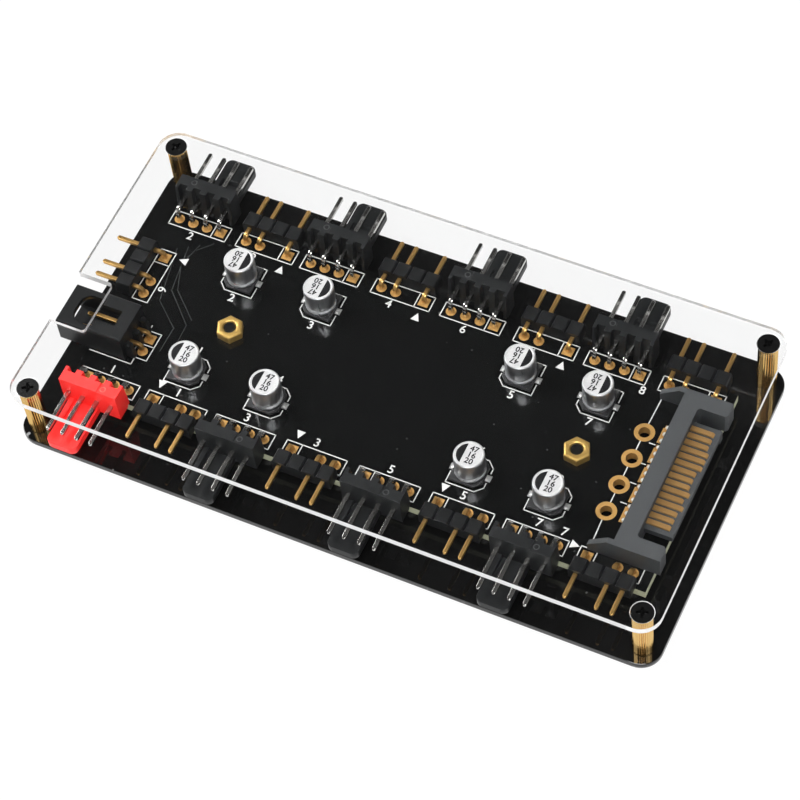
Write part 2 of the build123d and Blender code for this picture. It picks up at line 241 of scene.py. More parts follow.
def make_dust_group() -> bpy.types.NodeTree:
    """Make sparse specks of dust, which lie in patches.

    Returns:
        The group, its mask 1 where a speck lies.
    """
    tree = new_group(GroupKind.DUST, (("Scale", 420.0), ("Size", 0.1)))
    given, mask = ends(tree)
    cells = add_node(tree, "TexVoronoi", {"Vector": given["Vector"], "Scale": given["Scale"]})
    speck = calculated(tree, "LESS_THAN", cells.outputs["Distance"], given["Size"])
    patches = add_node(tree, "TexNoise", {"Vector": given["Vector"], "Scale": 90.0})
    dusty = calculated(tree, "GREATER_THAN", patches.outputs["Fac"], 0.56)
    feed(tree, calculated(tree, "MULTIPLY", speck, dusty), mask)
    return tree


def make_wear_group() -> bpy.types.NodeTree:
    """Make broad soft patches, where handling has changed a surface a little.

    Returns:
        The group, its mask from 0 to 1.
    """
    tree = new_group(GroupKind.WEAR, (("Scale", 350.0), ("Contrast", 2.0)))
    given, mask = ends(tree)
    noise = add_node(tree, "TexNoise", {"Vector": given["Vector"], "Scale": given["Scale"], "Detail": 4.0})
    feed(tree, calculated(tree, "MULTIPLY_ADD", noise.outputs["Fac"], given["Contrast"], -0.5, clamp=True),
         mask)
    return tree


GROUPS = {
    GroupKind.GRAIN: make_grain_group(),
    GroupKind.BRUSHED: make_brushed_group(),
    GroupKind.DUST: make_dust_group(),
    GroupKind.WEAR: make_wear_group(),
}


def new_material(name: str, values: dict) -> tuple[bpy.types.Material, bpy.types.NodeTree, bpy.types.Node]:
    """Make a node material with plain values on its Principled shader.

    Args:
        name: Name of the material.
        values: Plain value of each of the shader's sockets, by name.

    Returns:
        The material, its node tree and its Principled shader.
    """
    material = bpy.data.materials.new(name)
    material.use_nodes = True
    shader = material.node_tree.nodes["Principled BSDF"]
    for socket, value in values.items():
        shader.inputs[socket].default_value = value
    return material, material.node_tree, shader


def shared_mask(tree: bpy.types.NodeTree, kind: GroupKind, values: Sequence[float]) -> bpy.types.NodeSocket:
    """Place a shared group in a material.

    Args:
        tree: The material's node tree.
        kind: Effect to place.
        values: The group's two float inputs, or its first alone.

    Returns:
        The group's Mask output.
    """
    coords = add_node(tree, "TexCoord", {})
    feeds = {0: coords.outputs["Object"], **dict(enumerate(values, start=1))}
    return add_node(tree, "Group", feeds, node_tree=GROUPS[kind]).outputs["Mask"]


def shade_by(tree: bpy.types.NodeTree, share: bpy.types.NodeSocket, one: bpy.types.Node,
             two: bpy.types.Node) -> None:
    """Let a material's surface go from one shader to another by a share."""
    mix = add_node(tree, "MixShader", {"Fac": share, 1: one.outputs[0], 2: two.outputs[0]})
    feed(tree, mix.outputs["Shader"], tree.nodes["Material Output"].inputs["Surface"])


# Finishes


PLASTIC_IOR = 1.49
DUST_VALUES = (420.0, 0.07)
HAZE_SCALE = 60.0


@dataclass(frozen=True)
class Finish:
    """Surface of one material, built as a node material on Object coordinates."""

    name: str
    dark: tuple[float, float, float]
    light: tuple[float, float, float]
    rough_low: float
    rough_high: float
    group: GroupKind = GroupKind.GRAIN
    scale: float = 4000.0
    second: float = 3.0
    bump: float = 0.0
    metallic: float = 0.0
    coat: float = 0.0
    specular: float = 0.5
    dust: float = 0.0

    def build(self) -> bpy.types.Material:
        """Make the material.

        Returns:
            The finished node material.
        """
        material, tree, shader = new_material(self.name, {
            "Metallic": self.metallic, "Coat Weight": self.coat,
            "Specular IOR Level": self.specular, "IOR": PLASTIC_IOR})
        mask = shared_mask(tree, self.group, (self.scale, self.second))
        colour = mixed(tree, "RGBA", mask, (*self.dark, 1.0), (*self.light, 1.0))
        if self.dust:
            speck = shared_mask(tree, GroupKind.DUST, DUST_VALUES)
            colour = mixed(tree, "RGBA", speck, colour, (self.dust, self.dust, self.dust, 1.0))
        feed(tree, colour, shader.inputs["Base Color"])
        rough = add_node(tree, "MapRange", {"Value": mask, "To Min": self.rough_low,
                                            "To Max": self.rough_high})
        feed(tree, rough.outputs["Result"], shader.inputs["Roughness"])
        if self.bump:
            bump = add_node(tree, "Bump", {"Strength": 0.6, "Distance": self.bump * MM, "Height": mask})
            feed(tree, bump.outputs["Normal"], shader.inputs["Normal"])
        return material


@dataclass(frozen=True)
class ClearFinish:
    """Clear acrylic sheet that lets lamps through to what lies under it."""

    name: str
    low: tuple[float, float, float]
    high: tuple[float, float, float]
    roughness: float = 0.0
    specular: float = 0.5
    clearness: float = 1.0

    def build(self) -> bpy.types.Material:
        """Make the material.

        Returns:
            The clear material.
        """
        material, tree, shader = new_material(self.name, {
            "Transmission Weight": self.clearness, "Roughness": self.roughness,
            "Specular IOR Level": self.specular, "IOR": PLASTIC_IOR})
        haze = shared_mask(tree, GroupKind.WEAR, (HAZE_SCALE,))
        shade = mixed(tree, "RGBA", haze, (*self.low, 1.0), (*self.high, 1.0))
        feed(tree, shade, shader.inputs["Base Color"])
        path = add_node(tree, "LightPath", {})
        passing = add_node(tree, "BsdfTransparent", {"Color": (0.93, 0.93, 0.93, 1.0)})
        shade_by(tree, path.outputs["Is Shadow Ray"], shader, passing)
        return material


BLACK_ACRYLIC = Finish("black_acrylic", (0.004, 0.004, 0.004), (0.006, 0.006, 0.006), 0.02, 0.06,
                       group=GroupKind.WEAR, scale=120.0, second=1.4, dust=0.12)
CLEAR_ACRYLIC = ClearFinish("clear_acrylic", (0.978, 0.98, 0.98), (0.984, 0.985, 0.985))
CLEAR_EDGE = ClearFinish("clear_acrylic_edge", (0.97, 0.97, 0.97), (1.0, 1.0, 1.0), 0.2, clearness=0.38)
BRASS = Finish("brass", (0.70, 0.44, 0.14), (0.80, 0.53, 0.19), 0.18, 0.195,
               group=GroupKind.BRUSHED, scale=2200.0, second=0.08, metallic=1.0)
NUT_BRASS = Finish("nut_brass", (0.66, 0.42, 0.12), (0.74, 0.48, 0.15), 0.32, 0.33,
                   group=GroupKind.WEAR, scale=500.0, second=1.6, metallic=0.85)
GILT = Finish("gilt_pin", (0.62, 0.37, 0.12), (0.68, 0.42, 0.15), 0.29, 0.3,
              group=GroupKind.WEAR, scale=400.0, second=1.6, metallic=1.0)
GILT_CONTACT = Finish("gilt_contact", (0.46, 0.26, 0.09), (0.51, 0.30, 0.105), 0.32, 0.33,
                      group=GroupKind.WEAR, scale=400.0, second=1.6, metallic=0.8)
PAD_GOLD = Finish("pad_gold", (0.48, 0.27, 0.08), (0.54, 0.31, 0.10), 0.37, 0.39,
                  group=GroupKind.WEAR, scale=600.0, second=1.6, metallic=0.55)
TIN_PIN = Finish("tin_pin", (0.58, 0.57, 0.55), (0.63, 0.62, 0.60), 0.15, 0.16,
                 group=GroupKind.WEAR, scale=400.0, second=1.6, metallic=1.0)
TIN = Finish("tin", (0.62, 0.62, 0.61), (0.70, 0.70, 0.69), 0.3, 0.32,
             group=GroupKind.WEAR, scale=700.0, second=1.8, metallic=0.85)
SOLDER_MASK = Finish("solder_mask", (0.0026, 0.0028, 0.0028), (0.0036, 0.0038, 0.0038), 0.11, 0.12,
                     group=GroupKind.WEAR, scale=260.0, second=1.6, dust=0.035, specular=0.42)
TRACK_MASK = Finish("mask_over_copper", (0.020, 0.021, 0.021), (0.026, 0.027, 0.027), 0.2, 0.24,
                    group=GroupKind.WEAR, scale=260.0, second=1.6)
BOARD_CORE = Finish("board_core", (0.30, 0.31, 0.20), (0.44, 0.45, 0.32), 0.6, 0.8,
                    scale=2600.0, bump=0.02)
PRINT_WHITE = Finish("print_white", (0.42, 0.42, 0.41), (0.54, 0.54, 0.53), 0.55, 0.7, scale=5200.0)
FAN_GREY = Finish("header_grey", (0.006, 0.0065, 0.007), (0.011, 0.012, 0.0125), 0.34, 0.44,
                  scale=3600.0, bump=0.003, specular=0.22)
# The ejector mark's two finishes are lighter than their header's: a painted highlight that stands for the
# light the mark's small ring catches.
EJECTOR_GREY_PAINTED_HIGHLIGHT = Finish("ejector_mark_painted_highlight_grey", (0.045, 0.047, 0.048), (0.055, 0.057, 0.058), 0.3, 0.36,
                      scale=3600.0, specular=0.3)
EJECTOR_RED_PAINTED_HIGHLIGHT = Finish("ejector_mark_painted_highlight_red", (0.88, 0.10, 0.08), (0.92, 0.14, 0.11), 0.3, 0.36,
                     scale=3600.0, specular=0.3)
FAN_RED = Finish("header_red", (0.80, 0.018, 0.015), (0.88, 0.028, 0.024), 0.34, 0.46,
                 scale=3600.0, bump=0.003, specular=0.3)
STRIP_BLACK = Finish("header_black", (0.0045, 0.005, 0.0052), (0.008, 0.0085, 0.009), 0.3, 0.4,
                     scale=3600.0, bump=0.003, specular=0.25)
FOOT_BLACK = Finish("foot_black", (0.006, 0.006, 0.007), (0.012, 0.012, 0.013), 0.4, 0.55,
                    scale=5200.0, bump=0.006)
PLUG_GREY = Finish("plug_housing", (0.012, 0.0135, 0.0145), (0.042, 0.046, 0.049), 0.5, 0.68,
                   scale=5600.0, second=4.0, bump=0.012)
NYLON = Finish("black_nylon", (0.010, 0.010, 0.011), (0.018, 0.018, 0.019), 0.5, 0.65,
               scale=3600.0, bump=0.006)
SCREW_BLACK = Finish("black_screw", (0.003, 0.003, 0.003), (0.006, 0.006, 0.006), 0.2, 0.22,
                     group=GroupKind.WEAR, scale=900.0, second=2.2, bump=0.002, specular=0.5)
CAN_SIDE = Finish("can_aluminium", (0.55, 0.56, 0.58), (0.72, 0.73, 0.75), 0.24, 0.36,
                  group=GroupKind.BRUSHED, scale=2400.0, second=0.04, bump=0.003, metallic=1.0)
CAN_TOP = Finish("can_top", (0.38, 0.38, 0.38), (0.45, 0.45, 0.45), 0.38, 0.5,
                 group=GroupKind.WEAR, scale=800.0, second=1.8, metallic=0.1)
PRINT_BLACK = Finish("print_black", (0.004, 0.004, 0.0045), (0.008, 0.008, 0.009), 0.4, 0.52, scale=4200.0,
                     specular=0.15)


class Paints:
    """Builds each finish once."""

    def __init__(self) -> None:
        """Start with no material made."""
        self.made: dict[str, bpy.types.Material] = {}

    def get(self, finish: "Finish | ClearFinish") -> bpy.types.Material:
        """Give the material of a finish, making it on first use.

        Args:
            finish: Finish to look up.

        Returns:
            Its material.
        """
        if finish.name not in self.made:
            self.made[finish.name] = finish.build()
        return self.made[finish.name]


PAINTS = Paints()


# Bench work


class Bench:
    """A mesh piece that is being modelled in edit mode, in the hub's own space."""

    def __init__(self, name: str) -> None:
        """Open an empty mesh in edit mode.

        Args:
            name: Name of the piece.
        """
        if bpy.context.object and bpy.context.object.mode != "OBJECT":
            bpy.ops.object.mode_set(mode="OBJECT")
        bpy.ops.object.select_all(action="DESELECT")
        bpy.ops.mesh.primitive_plane_add(size=MM)
        self.piece = bpy.context.object
        self.piece.name = name
        self.piece.data.name = name
        bpy.ops.object.mode_set(mode="EDIT")
        bpy.ops.mesh.select_all(action="SELECT")
        bpy.ops.mesh.delete(type="VERT")

    def rise(self, height: float) -> None:
        """Extrude what is selected upwards by height, in millimetres."""
        bpy.ops.mesh.extrude_region_move(TRANSFORM_OT_translate={"value": (0, 0, height * MM)})

    def turned(self, x: float, y: float, rings: Sequence[tuple[float, float]], sides: int = 32,
               turn: float = 0.0) -> None:
        """Raise a round or many-sided form ring by ring.

        Args:
            x: Middle of the form.
            y: Middle of the form.
            rings: Radius and height of each ring, from the lowest.
            sides: Number of sides.
            turn: Turn about the upright axis, in radians.
        """
        bpy.ops.mesh.select_all(action="DESELECT")
        radius, height = rings[0]
        bpy.ops.mesh.primitive_circle_add(
            vertices=sides, radius=radius * MM, fill_type="NGON",
            location=(x * MM, y * MM, height * MM), rotation=(0, 0, turn))
        for new_radius, new_height in rings[1:]:
            self.rise(new_height - height)
            factor = new_radius / radius
            bpy.ops.transform.resize(
                value=(factor, factor, 1), center_override=(x * MM, y * MM, new_height * MM))
            radius, height = new_radius, new_height

    def slab(self, x: float, y: float, wide: float, deep: float, low: float, high: float,
             turn: float = 0.0) -> None:
        """Add a rectangular slab.

        Args:
            x: Middle of the slab.
            y: Middle of the slab.
            wide: Size along X before it is turned.
            deep: Size along Y before it is turned.
            low: Height of its underside.
            high: Height of its top.
            turn: Turn about the upright axis, in radians.
        """
        bpy.ops.mesh.select_all(action="DESELECT")
        middle = (x * MM, y * MM, low * MM)
        bpy.ops.mesh.primitive_plane_add(size=MM, location=(0, 0, 0))
        bpy.ops.transform.resize(value=(wide, deep, 1), center_override=(0, 0, 0))
        if turn:
            bpy.ops.transform.rotate(value=-turn, orient_axis="Z", center_override=(0, 0, 0))
        bpy.ops.transform.translate(value=middle)
        self.rise(high - low)

    def stroke(self, start: tuple[float, float], end: tuple[float, float], width: float, low: float,
               high: float) -> None:
        """Add a straight printed or raised line.

        Args:
            start: Where it starts.
            end: Where it ends.
            width: Its width, which it also reaches past each end by half.
            low: Height of its underside.
            high: Height of its top.
        """
        across, along = end[0] - start[0], end[1] - start[1]
        length = math.hypot(across, along) + width
        self.slab((start[0] + end[0]) / 2, (start[1] + end[1]) / 2, length, width, low, high,
                  math.atan2(along, across))

    def washer(self, x: float, y: float, outer: float, inner: float, low: float, high: float,
               sides: int = 40) -> None:
        """Add a flat ring with a hole.

        Args:
            x: Middle of the ring.
            y: Middle of the ring.
            outer: Radius of its rim.
            inner: Radius of its hole.
            low: Height of its underside.
            high: Height of its top.
            sides: Number of sides.
        """
        bpy.ops.mesh.select_all(action="DESELECT")
        middle = (x * MM, y * MM, low * MM)
        bpy.ops.mesh.primitive_circle_add(vertices=sides, radius=outer * MM, location=middle)
        mesh = bmesh.from_edit_mesh(self.piece.data)
        outer_edges = [edge.index for edge in mesh.edges if edge.select]
        bpy.ops.mesh.primitive_circle_add(vertices=sides, radius=inner * MM, location=middle)
        mesh = bmesh.from_edit_mesh(self.piece.data)
        mesh.edges.ensure_lookup_table()
        for index in outer_edges:
            mesh.edges[index].select_set(True)
        bmesh.update_edit_mesh(self.piece.data)
        bpy.ops.mesh.bridge_edge_loops()
        self.rise(high - low)

    def draw_in(self, test: Callable[[Vector], bool], factor: float) -> None:
        """Draw the vertices that pass a test in towards the upright axis.

        Args:
            test: Tells from its place whether a vertex moves.
            factor: New distance from the axis over the old one.
        """
        bpy.ops.mesh.select_mode(type="VERT")
        mesh = bmesh.from_edit_mesh(self.piece.data)
        for vertex in mesh.verts:
            vertex.select_set(test(vertex.co))
        mesh.select_flush_mode()
        bmesh.update_edit_mesh(self.piece.data)
        bpy.ops.transform.resize(value=(factor, factor, 1), center_override=(0, 0, 0))
        bpy.ops.mesh.select_mode(type="FACE")

    def patch(self, corners: Sequence[tuple[float, float]], low: float, high: float) -> None:
        """Add a flat patch, such as a filled triangle.

        Args:
            corners: Its corners in order.
            low: Height of its underside.
            high: Height of its top.
        """
        bpy.ops.mesh.select_all(action="DESELECT")
        mesh = bmesh.from_edit_mesh(self.piece.data)
        face = mesh.faces.new([mesh.verts.new((x * MM, y * MM, low * MM)) for x, y in corners])
        face.select_set(True)
        bmesh.update_edit_mesh(self.piece.data)
        self.rise(high - low)

    def done(self) -> bpy.types.Object:
        """Make the faces look outwards and leave edit mode.

        Returns:
            The piece.
        """
        bpy.ops.mesh.select_all(action="SELECT")
        bpy.ops.mesh.normals_make_consistent(inside=False)
        bpy.ops.mesh.select_all(action="DESELECT")
        bpy.ops.object.mode_set(mode="OBJECT")
        return self.piece


def only(piece: bpy.types.Object) -> None:
    """Select one object alone and make it active."""
    bpy.ops.object.select_all(action="DESELECT")
    piece.select_set(True)
    bpy.context.view_layer.objects.active = piece


def bevelled(piece: bpy.types.Object, width: float, segments: int = 2, angle: float = 32.0) -> None:
    """Round a piece's sharp edges.

    Args:
        piece: Mesh to round.
        width: Width of the rounding, in millimetres.
        segments: Steps in the rounding.
        angle: Least angle between faces that counts as an edge, in degrees.
    """
    only(piece)
    bevel = piece.modifiers.new("rounded_edges", "BEVEL")
    bevel.width = width * MM
    bevel.segments = segments
    bevel.limit_method = "ANGLE"
    bevel.angle_limit = math.radians(angle)
    bevel.harden_normals = False
    bpy.ops.object.modifier_apply(modifier=bevel.name)


def carved(piece: bpy.types.Object, cutter: bpy.types.Object) -> None:
    """Cut one piece out of another and remove the cutter.

    Args:
        piece: Mesh that is cut.
        cutter: Closed mesh, one body alone.
    """
    only(piece)
    cut = piece.modifiers.new("carved", "BOOLEAN")
    cut.operation = "DIFFERENCE"
    cut.solver = "EXACT"
    cut.object = cutter
    bpy.ops.object.modifier_apply(modifier=cut.name)
    bpy.data.objects.remove(cutter, do_unlink=True)


def copy_at(master: bpy.types.Object, name: str, matrices: Sequence[Matrix]) -> bpy.types.Object:
    """Copy a master to each place and join the copies into one piece.

    Args:
        master: Mesh modelled once, in its own space.
        name: Name of the joined piece.
        matrices: Place of each copy.

    Returns:
        The joined piece, at the origin.
    """
    if not master.data.polygons:
        raise ValueError(f"{master.name} has no faces")
    copies = []
    for matrix in matrices:
        copy = master.copy()
        copy.data = master.data.copy()
        bpy.context.collection.objects.link(copy)
        copy.matrix_world = matrix
        copies.append(copy)
    bpy.context.view_layer.update()
    bpy.ops.object.select_all(action="DESELECT")
    for copy in copies:
        copy.select_set(True)
    bpy.context.view_layer.objects.active = copies[0]
    bpy.ops.object.transform_apply(location=True, rotation=True, scale=True)
    if len(copies) > 1:
        bpy.ops.object.join()
    piece = bpy.context.object
    piece.name = name
    piece.data.name = name
    return piece


def spent(master: bpy.types.Object, name: str, matrices: Sequence[Matrix]) -> bpy.types.Object:
    """Copy a master to each place as copy_at does, then remove the master.

    Args:
        master: Mesh modelled once, in its own space.
        name: Name of the joined piece.
        matrices: Place of each copy.

    Returns:
        The joined piece, at the origin.
    """
    piece = copy_at(master, name, matrices)
    bpy.data.objects.remove(master, do_unlink=True)
    return piece


def softened(node: str, name: str, width: float, segments: int = 2) -> bpy.types.Object:
    """Copy a CAD node, merge its loose triangles and round its edges.

    Args:
        node: Name of the CAD node.
        name: Name of the new piece.
        width: Width of the rounding, in millimetres.
        segments: Steps in the rounding.

    Returns:
        The new piece.
    """
    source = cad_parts[node]
    piece = bpy.data.objects.new(name, source.data.copy())
    piece.data.name = name
    bpy.context.collection.objects.link(piece)
    only(piece)
    bpy.ops.object.mode_set(mode="EDIT")
    bpy.ops.mesh.select_all(action="SELECT")
    bpy.ops.mesh.remove_doubles(threshold=0.0005 * MM)
    bpy.ops.mesh.customdata_custom_splitnormals_clear()
    bpy.ops.mesh.dissolve_limited(angle_limit=math.radians(1.0))
    bpy.ops.mesh.select_all(action="DESELECT")
    bpy.ops.object.mode_set(mode="OBJECT")
    if width:
        bevelled(piece, width, segments)
    return piece


def dress(piece: bpy.types.Object, finish: "Finish | ClearFinish",
          nodes: Sequence[str] = (), smooth: float = 32.0,
          others: Sequence["Finish | ClearFinish"] = (), weigh: bool = False) -> bpy.types.Object:
    """Give a piece its finish, its place on the frame and a line in the log.

    Args:
        piece: Finished mesh, at the origin.
        finish: Its main finish.
        nodes: CAD nodes that it stands for.
        smooth: Greatest angle shaded smooth, in degrees.
        others: Further finishes, already set on faces by index.
        weigh: Whether flat faces keep their own normals beside rounded edges.

    Returns:
        The same piece.
    """
    only(piece)
    bpy.ops.object.shade_smooth_by_angle(angle=math.radians(smooth))
    if weigh:
        even = piece.modifiers.new("weighted_normals", "WEIGHTED_NORMAL")
        even.keep_sharp = True
        even.weight = 90
        bpy.ops.object.modifier_apply(modifier=even.name)
    else:
        for polygon in piece.data.polygons:
            if polygon.area > BROAD_FACE:
                polygon.use_smooth = False
    marks = [polygon.material_index for polygon in piece.data.polygons]
    piece.data.materials.clear()
    for each in (finish, *others):
        piece.data.materials.append(PAINTS.get(each))
    for polygon, mark in zip(piece.data.polygons, marks):
        polygon.material_index = mark if mark <= len(others) else 0
    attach(piece, "root")
    if nodes:
        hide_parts(*nodes)
    LOG.info("%s: %d faces", piece.name, len(piece.data.polygons))
    return piece


def mark_faces(piece: bpy.types.Object, test: Callable[[bpy.types.MeshPolygon], bool]) -> None:
    """Give the faces that pass a test the second finish, and the rest the first."""
    for polygon in piece.data.polygons:
        polygon.material_index = 1 if test(polygon) else 0


# Sub-assemblies


@dataclass
class Plates:
    """Glossy base plate, clear cover, and the brass and screws that join them."""

    edge: float = 0.12
    cover_edge: float = 0.06
    spacer_edge: float = 0.08
    standoff_radius: float = 1.6
    standoff_bevel: float = 0.12
    standoff_rim: float = 0.18
    flutes: int = 26
    flute_depth: float = 0.16
    head_radius: float = 1.8
    shank_radius: float = 1.0
    recess_reach: float = 1.05
    recess_arm: float = 0.24
    recess_depth: float = 0.6
    recess_taper: float = 0.65
    recess_well: tuple = ((0.15, -0.85), (0.5, -0.3), (0.6, 0.2))
    head_bottom: float = -1.2
    thread_root: float = 0.86
    thread_step: float = 0.4
    thread_top: float = -1.45
    screw_tip: float = 0.25
    plate_screw: float = 5.0
    board_screw: float = 6.8
    nut_radius: float = 2.31
    nut_height: float = 1.6
    nut_bevel: float = 0.18
    nut_bore: float = 1.03
    nut_bore_mouth: float = 1.24
    nut_edge: float = 0.07
    nut_turn: float = math.radians(22.0)

    def base(self) -> None:
        """Make the base plate."""
        piece = softened("base_plate", "base_sheet", self.edge)
        dress(piece, BLACK_ACRYLIC, ["base_plate"])

    def cover(self) -> None:
        """Make the clear cover, its cut edges apart from its polished faces."""
        piece = softened("cover_plate", "cover_sheet", self.cover_edge, 1)
        mark_faces(piece, lambda polygon: abs(polygon.normal.z) < 0.9)
        dress(piece, CLEAR_ACRYLIC, ["cover_plate"], others=[CLEAR_EDGE])

    def standoffs(self) -> None:
        """Make the four standoffs with their straight knurl."""
        bench = Bench("standoff_master")
        body = self.standoff_radius
        end = body - self.standoff_bevel
        bench.turned(0, 0, ((end, PLATE_TOP), (body, PLATE_TOP + self.standoff_rim),
                            (body, COVER_BOTTOM - self.standoff_rim), (end, COVER_BOTTOM)),
                     sides=2 * self.flutes)
        bench.draw_in(self.is_flute, 1 - self.flute_depth / self.standoff_radius)
        piece = spent(bench.done(), "knurled_standoffs", [shift(x, y) for x, y in CORNER_POINTS])
        dress(piece, BRASS, ["corner_standoffs"], smooth=12.0)

    def is_flute(self, place: Vector) -> bool:
        """Tell whether a vertex of the standoff lies at the bottom of a flute."""
        step = round(math.atan2(place.y, place.x) * self.flutes / math.pi)
        return bool(step % 2) and PLATE_TOP + 0.05 < place.z / MM < COVER_BOTTOM - 0.05

    def screw(self, length: float) -> bpy.types.Object:
        """Model one countersunk screw with a cross recess.

        Args:
            length: Length from the head's face to the tip.

        Returns:
            The screw, its head up at zero height.
        """
        bench = Bench("screw_master")
        shank, head_radius = self.shank_radius, self.head_radius
        root = self.screw_tip - length
        rings = [(shank * 0.8, -length), (shank, root)]
        for i in range(max(int((self.thread_top - root) / self.thread_step), 0)):
            base = root + i * self.thread_step
            rings.append((shank * self.thread_root, base + self.thread_step / 2))
            rings.append((shank, base + self.thread_step))
        rings += [(shank * 0.98, self.head_bottom), (head_radius, -0.12), (head_radius - 0.05, 0.0)]
        bench.turned(0, 0, rings, sides=40)
        head = bench.done()
        for turn in (0.5, 0.5 + math.pi / 2):
            bench = Bench("recess_cutter")
            bench.slab(0, 0, 2 * self.recess_reach, 2 * self.recess_arm, 0.2, -self.recess_depth, turn)
            bpy.ops.transform.resize(value=(self.recess_taper, self.recess_taper, 1),
                                     center_override=(0, 0, -self.recess_depth * MM))
            carved(head, bench.done())
        bench = Bench("recess_cutter")
        bench.turned(0, 0, self.recess_well, sides=16)
        carved(head, bench.done())
        return head

    def screws(self) -> None:
        """Make the cover's, the base's and the board's screws."""
        flip = Matrix.Rotation(math.pi, 4, "X")
        for name, length, points, height, seat in (
            ("cover", self.plate_screw, CORNER_POINTS, COVER_TOP, Matrix()),
            ("base", self.plate_screw, CORNER_POINTS, 0.0, flip),
            ("board", self.board_screw, NUT_POINTS, 0.0, flip),
        ):
            places = [shift(x, y, height) @ seat @ turned_by(0.7 * i) for i, (x, y) in enumerate(points)]
            piece = spent(self.screw(length), f"{name}_screw_set", places)
            dress(piece, SCREW_BLACK, [f"{name}_screws"], smooth=28.0)

    def nuts(self) -> None:
        """Make the two hex nuts on the board, their rims turned off."""
        bench = Bench("nut_master")
        rim = BOARD_TOP + self.nut_height - self.nut_bevel
        bench.turned(0, 0, ((self.nut_radius, BOARD_TOP), (self.nut_radius, rim),
                            (self.nut_radius - 0.22, BOARD_TOP + self.nut_height)),
                     sides=6, turn=self.nut_turn)
        master = bench.done()
        bench = Bench("nut_bore")
        bench.turned(0, 0, ((self.nut_bore, BOARD_TOP - 0.5), (self.nut_bore, rim),
                            (self.nut_bore_mouth, rim + 0.21), (self.nut_bore_mouth, BOARD_TOP + 2.0)),
                     sides=36)
        carved(master, bench.done())
        bevelled(master, self.nut_edge, 2, 25.0)
        piece = spent(master, "hex_nuts", [shift(x, y) for x, y in NUT_POINTS])
        dress(piece, NUT_BRASS, ["board_nuts"], smooth=20.0)

    def build(self) -> None:
        """Make every plate, standoff, screw and nut."""
        self.base()
        self.cover()
        self.standoffs()
        self.screws()
        self.nuts()
        spacers = softened("board_spacers", "spacer_blocks", self.spacer_edge)
        dress(spacers, NYLON, ["board_spacers"])


@dataclass(frozen=True)
class PadRow:
    """Row of pads under one header, and the places that its printed box spans."""

    x: float
    y: float
    side: Side
    pads: Sequence[float]
    boxed: Sequence[float]

    def spots(self, alongs: Sequence[float]) -> list[tuple[float, float]]:
        """Work out places on the board along the row.

        Args:
            alongs: Distances from the row's middle.

        Returns:
            Place of each, pin one first.
        """
        spot = place(self.x, self.y, self.side)
        points = [spot @ Vector((-along * MM, 0, 0)) for along in reversed(alongs)]
        return [(point.x / MM, point.y / MM) for point in points]


